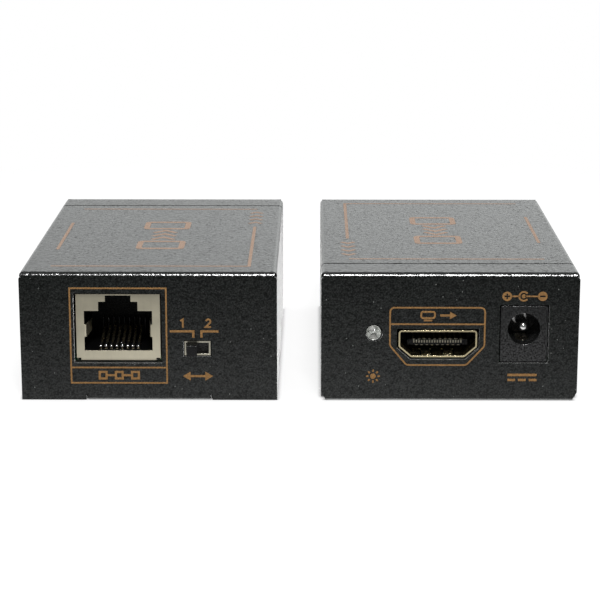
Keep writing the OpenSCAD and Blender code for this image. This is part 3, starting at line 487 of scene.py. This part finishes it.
def middle_of(unit):
    return -PITCH / 2 if unit == "tx" else PITCH / 2


def end_face(unit, end):
    """Place on the network or video end: u to the right for someone facing it, z up, out of the face. Millimetres."""
    side = 1 if (unit == "tx") == (end == "network") else -1
    return lambda u, z, out: Vector((middle_of(unit) + side * u, -side * (BOX_L / 2 + out), z)) * MM


def top_face(unit):
    """Place on a top: u to the right and v inwards for someone facing the network end, out of the face."""
    side = 1 if unit == "tx" else -1
    return lambda u, v, out: Vector((middle_of(unit) + side * u, side * (v - BOX_L / 2), BOX_H + out)) * MM


def add_shape(bm, loops, place):
    """Thin plate from closed loops: the first is the outline and the others are holes."""
    flat = [point for loop in loops for point in loop]
    front = [bm.verts.new(place(u, v, INK_OUT)) for u, v in flat]
    back = [bm.verts.new(place(u, v, -INK_IN)) for u, v in flat]
    for triangle in tessellate_polygon([[Vector((u, v, 0)) for u, v in loop] for loop in loops]):
        bm.faces.new([front[i] for i in triangle])
        bm.faces.new([back[i] for i in reversed(triangle)])
    start = 0
    for loop in loops:
        count = len(loop)
        for i in range(count):
            a, b = start + i, start + (i + 1) % count
            bm.faces.new([front[a], front[b], back[b], back[a]])
        start += count


def stroke(points, width, closed=False):
    """Loops of a line of even width along a path, with mitred corners, and the outer loop first."""
    path = [Vector(p) for p in points]
    count = len(path)
    left, right = [], []
    for i, here in enumerate(path):
        before = path[i - 1] if i or closed else None
        after = path[(i + 1) % count] if i < count - 1 or closed else None
        sides = [Vector((-(b - a).y, (b - a).x)).normalized()
                 for a, b in ((before, here), (here, after)) if a is not None and b is not None]
        middle = sum(sides, Vector((0, 0))).normalized()
        shift = middle * (width / 2 / middle.dot(sides[0]))
        left.append(here + shift)
        right.append(here - shift)
    rows = [[tuple(p) for p in row] for row in (left, right)]
    if not closed:
        return [rows[0] + rows[1][::-1]]
    return sorted(rows, key=lambda row: -abs(area(row)))


def bar(left, right, v, width):
    return stroke([(left, v), (right, v)], width)


def area(loop):
    """Signed area inside a loop."""
    return sum(a[0] * b[1] - b[0] * a[1] for a, b in zip(loop, loop[1:] + loop[:1])) / 2


def circle(u, v, r, count=28, start=0.0, turn=360.0):
    """Points round a circle, or along an arc of it."""
    last = count if turn == 360.0 else count - 1
    return [(u + r * math.cos(math.radians(start + turn * i / last)),
             v + r * math.sin(math.radians(start + turn * i / last))) for i in range(count)]


def rectangle(left, right, low, high):
    return [(left, low), (right, low), (right, high), (left, high)]


def round_corners(points, radii, steps):
    """Closed path with its corners rounded off, each by its own radius."""
    path = []
    for i, radius in enumerate(radii):
        a, b, c = Vector(points[i - 1]), Vector(points[i]), Vector(points[(i + 1) % len(points)])
        start, end = b + (a - b).normalized() * radius, b + (c - b).normalized() * radius
        for k in range(steps + 1):
            t = k / steps
            path.append(tuple(start * (1 - t) ** 2 + b * 2 * t * (1 - t) + end * t ** 2))
    return path


def plus_outline(u, v, size, width):
    a, b = size / 2, width / 2
    return [(u - b, v - a), (u + b, v - a), (u + b, v - b), (u + a, v - b), (u + a, v + b), (u + b, v + b),
            (u + b, v + a), (u - b, v + a), (u - b, v + b), (u - a, v + b), (u - a, v - b), (u - b, v - b)]


# Printed marks, in millimetres: frame lines and plain pictograms

FRAME_LINE = 0.32
THIN_LINE = 0.30
MARK_LINE = 0.34
SIGN_LINE = 0.36
BOLD_LINE = 0.44
TICK_LINE = 0.45
SUPPLY_LINE = 0.50
BORDER_LINE = 0.65
DIGIT = 1.75


def arrow_head(tip, v, head, side):
    """Points of a head that points to one side, from its shaft's one edge to the other."""
    back, half = tip - side * head, side * BOLD_LINE / 2
    wing = side * head * 0.6
    return [(back, v + half), (back, v + wing), (tip, v), (back, v - wing), (back, v - half)]


def double_arrow(u, v, length, head):
    return [[arrow_head(u + length / 2, v, head, 1) + arrow_head(u - length / 2, v, head, -1)]]


def single_arrow(start, tip, v, head):
    return [[arrow_head(tip, v, head, 1) + [(start, v - BOLD_LINE / 2), (start, v + BOLD_LINE / 2)]]]


def network_marks(u, v):
    """Three small squares on one line."""
    size, gap = 1.3, 3.1
    reach = (gap - size - BOLD_LINE) / 2
    marks = [stroke(rectangle(u + i * gap - size / 2, u + i * gap + size / 2, v - size / 2, v + size / 2),
                    BOLD_LINE, True) for i in (-1, 0, 1)]
    return marks + [bar(u + i * gap - reach, u + i * gap + reach, v, BOLD_LINE) for i in (-0.5, 0.5)]


def screen_marks(u, v):
    """A screen on a foot, and an arrow that leaves it."""
    screen = round_corners(rectangle(u - 3.1, u - 0.5, v - 0.4, v + 0.82), [0.42] * 4, 3)
    marks = [stroke(screen, SIGN_LINE, True), bar(u - 2.6, u - 1.0, v - 0.86, SIGN_LINE)]
    return marks + single_arrow(u + 0.5, u + 3.6, v + 0.12, 1.25)


def lamp_marks(u, v):
    """A small round with rays."""
    middle = Vector((u, v))
    marks = [[circle(u, v, 0.55, 20)]]
    for i in range(8):
        angle = math.radians(45 * i)
        way = Vector((math.cos(angle), math.sin(angle)))
        marks.append(stroke([tuple(middle + way * 0.84), tuple(middle + way * 1.32)], MARK_LINE))
    return marks


def supply_marks(u, v):
    """A full line over a broken one, the usual sign for direct current."""
    dashes = [bar(u + 2.05 * i - 0.75, u + 2.05 * i + 0.75, v - 0.5, SUPPLY_LINE) for i in (-1, 0, 1)]
    return [bar(u - 2.8, u + 2.8, v + 0.5, SUPPLY_LINE)] + dashes


def polarity_marks(v):
    """Plus disc, ring with a dot, and minus disc, joined by lines."""
    plus_u, ring_u, minus_u = 10.74, 13.88, 17.46
    disc_r, ring_r = 0.92, 0.86
    return [[circle(plus_u, v, disc_r), plus_outline(plus_u, v, 1.05, THIN_LINE)],
            [circle(minus_u, v, disc_r), rectangle(minus_u - 0.52, minus_u + 0.52, v - 0.15, v + 0.15)],
            [circle(ring_u, v, 0.4, 20)],
            stroke(circle(ring_u, v, ring_r, 24, 40, 280), MARK_LINE),
            bar(plus_u + disc_r - 0.05, ring_u - ring_r, v, THIN_LINE),
            bar(ring_u + 0.2, minus_u - disc_r + 0.05, v, THIN_LINE)]


def digit_one(u, v):
    path = [(-0.22, 0.26), (0.04, 0.44), (0.04, -0.5)]
    return [stroke([(u + DIGIT * a, v + DIGIT * b) for a, b in path], SIGN_LINE)]


def digit_two(u, v):
    arc = circle(u, v + DIGIT * 0.2, DIGIT * 0.25, 9, 165, -190)
    foot = [(u - DIGIT * 0.27, v - DIGIT * 0.4), (u + DIGIT * 0.3, v - DIGIT * 0.4)]
    return [stroke(arc + foot, SIGN_LINE)]


def network_end_marks(with_selector):
    """Frame round the network socket, and the two places of the selector with its arrow."""
    left, right, low, high, divider = -14.9, 3.43, 3.33, 21.94, 6.37
    marks = [stroke(rectangle(left, right, low, high), FRAME_LINE, True),
             bar(left + FRAME_LINE / 2, right - FRAME_LINE / 2, divider, FRAME_LINE)]
    marks += network_marks((left + right) / 2, (low + divider) / 2)
    if with_selector:
        tick_z, tick_end, digit_z = 13.54, 12.29, 15.1
        marks.append(stroke([(4.06, tick_z), (8.54, tick_z), (8.54, tick_end)], TICK_LINE))
        marks.append(stroke([(13.35, tick_z), (10.10, tick_z), (10.10, tick_end)], TICK_LINE))
        marks += digit_one(6.5, digit_z) + digit_two(11.4, digit_z)
        marks += double_arrow(9.34, 4.7, 5.8, 1.5)
    return marks


def video_end_marks():
    """Frame round the video socket, and the signs for the screen, the plug's polarity, the supply and the lamp."""
    left, right, top, divider = -11.40, 6.62, 18.25, 15.02
    outline = [(left, top), (left, 10.80), (-8.20, 6.98), (3.20, 6.98), (right, 10.70), (right, top)]
    marks = [stroke(round_corners(outline, [0.94, 0.5, 0.5, 0.5, 0.5, 0.94], 4), FRAME_LINE, True),
             bar(left + FRAME_LINE / 2, right - FRAME_LINE / 2, divider, FRAME_LINE)]
    marks += screen_marks(-2.4, 16.62) + polarity_marks(20.5)
    return marks + supply_marks(13.92, 4.55) + lamp_marks(-14.57, 4.75)


def chevron(u, v, size, line):
    """A small angle that points inwards along the box."""
    return stroke([(u - size / 2, v - size / 4), (u, v + size / 4), (u + size / 2, v - size / 4)], line)


def top_marks():
    """Border lines, and two linked squares in the middle."""
    side, near, far = 19.05, 5.7, 63.5
    marks = [stroke([(-19.65, 21.0), (-19.65, 48.0)], BORDER_LINE),
             stroke([(-side, near), (side, near), (side, 44.0)], BORDER_LINE),
             bar(-side, side, far, BORDER_LINE)]
    marks += [chevron(side, 48.2 + 3.7 * i, 2.6, 0.8) for i in range(4)]
    for v in (25.4, 45.2):
        marks.append(stroke(round_corners(rectangle(-3.6, 4.9, v - 3.4, v + 3.4), [0.8] * 4, 5), 1.2, True))
    return marks + [chevron(0.65, 31.9 + 3.4 * i, 4.6, 1.0) for i in range(3)]


def make_print(name, marks, place, material):
    bm = bmesh.new()
    for loops in marks:
        add_shape(bm, loops, place)
    new_piece(name, bm, material)


def make_prints():
    front = print_ink("front_ink", INK_FRONT, 0.0)
    top = print_ink("top_ink", INK_TOP, 0.25)
    for unit in UNITS:
        make_print(unit + "_network_end_print", network_end_marks(unit == "tx"), end_face(unit, "network"), front)
        make_print(unit + "_video_end_print", video_end_marks(), end_face(unit, "video"), front)
        make_print(unit + "_top_print", top_marks(), top_face(unit), top)


# Small formed parts that the sockets and the lamp hold

def add_box(bm, place, low, high):
    """Box between two corners, given as (u, z, in) with in measured behind the face."""
    corners = [place(u, z, -d) for u in (low[0], high[0]) for z in (low[1], high[1]) for d in (low[2], high[2])]
    verts = [bm.verts.new(c) for c in corners]
    for quad in ((0, 1, 3, 2), (4, 6, 7, 5), (0, 4, 5, 1), (2, 3, 7, 6), (0, 2, 6, 4), (1, 5, 7, 3)):
        bm.faces.new([verts[i] for i in quad])


def spaced(count, middle, pitch):
    """Places in a row, about its middle."""
    return [middle + (i - (count - 1) / 2) * pitch for i in range(count)]


def bevel(piece, width):
    edge = piece.modifiers.new("soft_edges", "BEVEL")
    edge.width = width * MM
    edge.segments = 2
    edge.limit_method = "ANGLE"


def make_comb(unit, material):
    """Ribs at the back of the network socket that keep its wires apart."""
    place = end_face(unit, "network")
    bm = bmesh.new()
    for u in spaced(WIRES + 1, NETWORK_U, WIRE_PITCH):
        add_box(bm, place, (u - 0.14, BOARD_Z + 2.0, 13.3), (u + 0.14, BOARD_Z + 5.4, 14.72))
    bevel(new_piece(unit + "_wire_comb", bm, material), 0.05)


def revolve(bm, place, u, z, profile, count=24):
    """Surface of revolution about the line through (u, z), from (radius, in) points."""
    rings = []
    for radius, depth in profile:
        if radius == 0:
            rings.append([bm.verts.new(place(u, z, -depth))])
        else:
            rings.append([bm.verts.new(place(
                u + radius * math.cos(2 * math.pi * k / count),
                z + radius * math.sin(2 * math.pi * k / count), -depth)) for k in range(count)])
    for first, second in zip(rings, rings[1:]):
        for k in range(count):
            a, b = k, (k + 1) % count
            if len(first) == 1:
                bm.faces.new([first[0], second[a], second[b]])
            elif len(second) == 1:
                bm.faces.new([first[a], second[0], first[b]])
            else:
                bm.faces.new([first[a], second[a], second[b], first[b]])


def make_wire_noses(unit, material):
    """Rounded foremost ends of the wires, just over the lower lip of the network socket."""
    place = end_face(unit, "network")
    dome = [(0, 0), (0.1, 0.012), (0.19, 0.047), (0.25, 0.085), (0.28, 0.13), (0.28, 2.6), (0, 2.6)]
    profile = [(radius, NOSE_FRONT + depth) for radius, depth in dome]
    bm = bmesh.new()
    for u in spaced(WIRES, NETWORK_U, WIRE_PITCH):
        revolve(bm, place, u, NOSE_Z, profile, 12)
    piece = new_piece(unit + "_wire_noses", bm, material)
    for face in piece.data.polygons:
        face.use_smooth = True


def make_lamp_core(unit, material):
    """Lead frame inside the clear lamp: a post with its reflector cup, a second post and the bond between them."""
    place = end_face(unit, "video")
    u, z = LAMP_U, LAMP_Z
    bm = bmesh.new()
    cup = [(0, 1.50), (0.22, 1.50), (0.22, 1.38), (0.30, 1.38), (0.92, 0.70), (1.02, 0.70), (1.02, 1.05),
           (0.5, 1.75), (0, 1.8)]
    revolve(bm, place, u - 0.12, z, cup)
    add_box(bm, place, (u - 0.62, z - 0.25, 1.7), (u - 0.05, z + 0.25, 3.9))
    add_box(bm, place, (u + 0.25, z - 0.25, 1.7), (u + 0.78, z + 0.25, 3.9))
    add_box(bm, place, (u - 0.12, z - 0.035, 0.62), (u + 1.05, z + 0.035, 0.69))
    bevel(new_piece(unit + "_lamp_core", bm, material), 0.03)


def make_contact_tips(unit, material):
    """Turned-over ends of the contacts, on the front face of the video socket's tongue."""
    place = end_face(unit, "video")
    bm = bmesh.new()
    for u in spaced(CONTACTS, TONGUE_U, CONTACT_PITCH):
        add_box(bm, place, (u - 0.12, TONGUE_Z - 0.12, TONGUE_FRONT - 0.03),
                (u + 0.12, TONGUE_Z + 0.38, TONGUE_FRONT + 0.02))
    bevel(new_piece(unit + "_contact_tips", bm, material), 0.01)


def make_details(made):
    for unit in UNITS:
        make_comb(unit, made["black_plastic"])
        # The noses take the brighter pin metal rather than the wires' gold, a lit copy that paints part of their
        # highlight
        make_wire_noses(unit, made["bright_pin"])
        make_contact_tips(unit, made["tip_metal"])
        make_lamp_core(unit, made["cup_metal"])


# Studio

# Strength of the soft fill, and the tint that polished faces see
FILL = 0.50
COOL_WHITE = (0.965, 1.0, 0.99)

# The room as polished faces see it: dimmer on the near side, overhead and on the left. Each row gives an axis of the
# direction looked in, the brightness at its low and high side, and between which values it changes.
ROOM = (("Y", 0.15, 1.0, -0.5, 0.2), ("Z", 1.0, 0.08, 0.32, 0.58), ("X", 0.80, 1.0, -0.10, 0.04))

# Floor, in metres: half its side, and how far it lies under the boxes
FLOOR_HALF = 1.6
FLOOR_DROP = 0.00003
# How the seen shadow and the mirrored light fade: their shares near and far, and between which distances
SHADOW_FADE = (1.0, 0.0, 0.10, 0.24)
MIRROR_FADE = (1.0, 0.10, 0.055, 0.14)
# Length of the rays that leave the boxes' undersides and pass through the floor
UNDERSIDE_REACH = 0.0003

# Lamps: place and size in metres, watts, and whether polished faces mirror them
LAMPS = {"overhead": ((0.0, 0.05, 0.8), 0.30, 1.2, False), "front": ((0.05, -0.51, 0.53), 0.16, 2.9, True)}
LAMP_TARGET = (0, 0, 0.01)


def make_camera():
    camera = new_object("camera", bpy.data.cameras.new("camera"))
    camera.location = CAMERA_PLACE
    camera.rotation_euler = Euler((math.radians(90 - CAMERA_PITCH), 0, math.radians(CAMERA_YAW)))
    camera.data.lens = CAMERA_LENS
    camera.data.sensor_width = CAMERA_SENSOR
    camera.data.clip_start = 0.01
    camera.data.clip_end = 20
    bpy.context.scene.camera = camera


def seen_directly(tree, rays):
    """1 for camera, glossy and transmission rays, which see the white background."""
    return tree.largest(rays["Is Camera Ray"], rays["Is Glossy Ray"], rays["Is Transmission Ray"])


def make_world():
    """White behind the object, a soft fill, and a dimmer room for reflections."""
    world = bpy.data.worlds.new("studio")
    bpy.context.scene.world = world
    tree = Tree(world, "ShaderNodeOutputWorld", "Generated")
    rays = tree.add("ShaderNodeLightPath").outputs
    way = tree.parts(tree.coords)
    room = [tree.level(way[axis], *change) for axis, *change in ROOM]
    mirrored = tree.product(rays["Is Glossy Ray"], *room)
    fill = tree.math("MULTIPLY", tree.math("SUBTRACT", 1.0, seen_directly(tree, rays)), FILL)
    strength = tree.largest(rays["Is Camera Ray"], rays["Is Transmission Ray"], mirrored, fill)
    colour = tree.mix(rays["Is Glossy Ray"], (1, 1, 1), COOL_WHITE)
    tree.done(tree.add("ShaderNodeBackground", {"Color": colour, "Strength": strength}).outputs[0])


def matt(tree, colour):
    return tree.add("ShaderNodeBsdfDiffuse", {"Color": colour}).outputs[0]


def glowing(tree, strength):
    return tree.add("ShaderNodeEmission", {"Color": (1, 1, 1), "Strength": strength}).outputs[0]


def blended(tree, fac, first, second):
    return tree.add("ShaderNodeMixShader", {"Fac": fac, 1: first, 2: second}).outputs[0]


def floor_look():
    """White to the eye, with the shadow near the object."""
    tree = material_tree("floor_look")
    rays = tree.add("ShaderNodeLightPath").outputs
    distance = tree.add("ShaderNodeVectorMath", {0: tree.coords}, operation="LENGTH").outputs["Value"]
    open_sky = tree.add("ShaderNodeAmbientOcclusion", {"Distance": 0.8 * MM}, samples=8).outputs["AO"]
    # What the eye sees: shadow near the object and plain white further out
    paper = tree.ramp(tree.noise(6.0, detail=2.0), (0.3, 0.28), (0.7, 0.30))
    glow = glowing(tree, tree.math("MULTIPLY", open_sky, 0.78))
    shadowed = tree.add("ShaderNodeAddShader", {0: matt(tree, paper), 1: glow}).outputs[0]
    seen = blended(tree, tree.level(distance, *SHADOW_FADE), glowing(tree, 1.0), shadowed)
    # What polished faces see: the same floor, dimmer further out
    mirrored = glowing(tree, tree.math("MULTIPLY", open_sky, tree.level(distance, *MIRROR_FADE)))
    seen = blended(tree, rays["Is Glossy Ray"], seen, mirrored)
    above = blended(tree, seen_directly(tree, rays), matt(tree, (0.72, 0.72, 0.71)), seen)
    # Clear from below, and for the rays that leave the boxes' own undersides
    backfacing = tree.add("ShaderNodeNewGeometry").outputs["Backfacing"]
    clear = tree.largest(backfacing, tree.math("LESS_THAN", rays["Ray Length"], UNDERSIDE_REACH))
    return tree.done(blended(tree, clear, above, tree.add("ShaderNodeBsdfTransparent").outputs[0]))


def make_floor():
    bm = bmesh.new()
    corners = rectangle(-FLOOR_HALF, FLOOR_HALF, -FLOOR_HALF, FLOOR_HALF)
    bm.faces.new([bm.verts.new((x, y, -FLOOR_DROP)) for x, y in corners])
    mesh_object("floor", bm, floor_look())


def make_lamp(name, place, size, power, mirrored):
    light = bpy.data.lights.new(name, "AREA")
    light.shape = "DISK"
    light.size = size
    light.energy = power
    lamp = new_object(name, light)
    lamp.location = place
    lamp.visible_glossy = mirrored
    lamp.rotation_euler = (Vector(LAMP_TARGET) - Vector(place)).to_track_quat("-Z", "Y").to_euler()


def make_studio():
    make_camera()
    make_world()
    make_floor()
    for name, lamp in LAMPS.items():
        make_lamp(name, *lamp)
    bpy.context.scene.view_settings.view_transform = "Standard"


made = dress_nodes()
make_prints()
make_details(made)
make_studio()
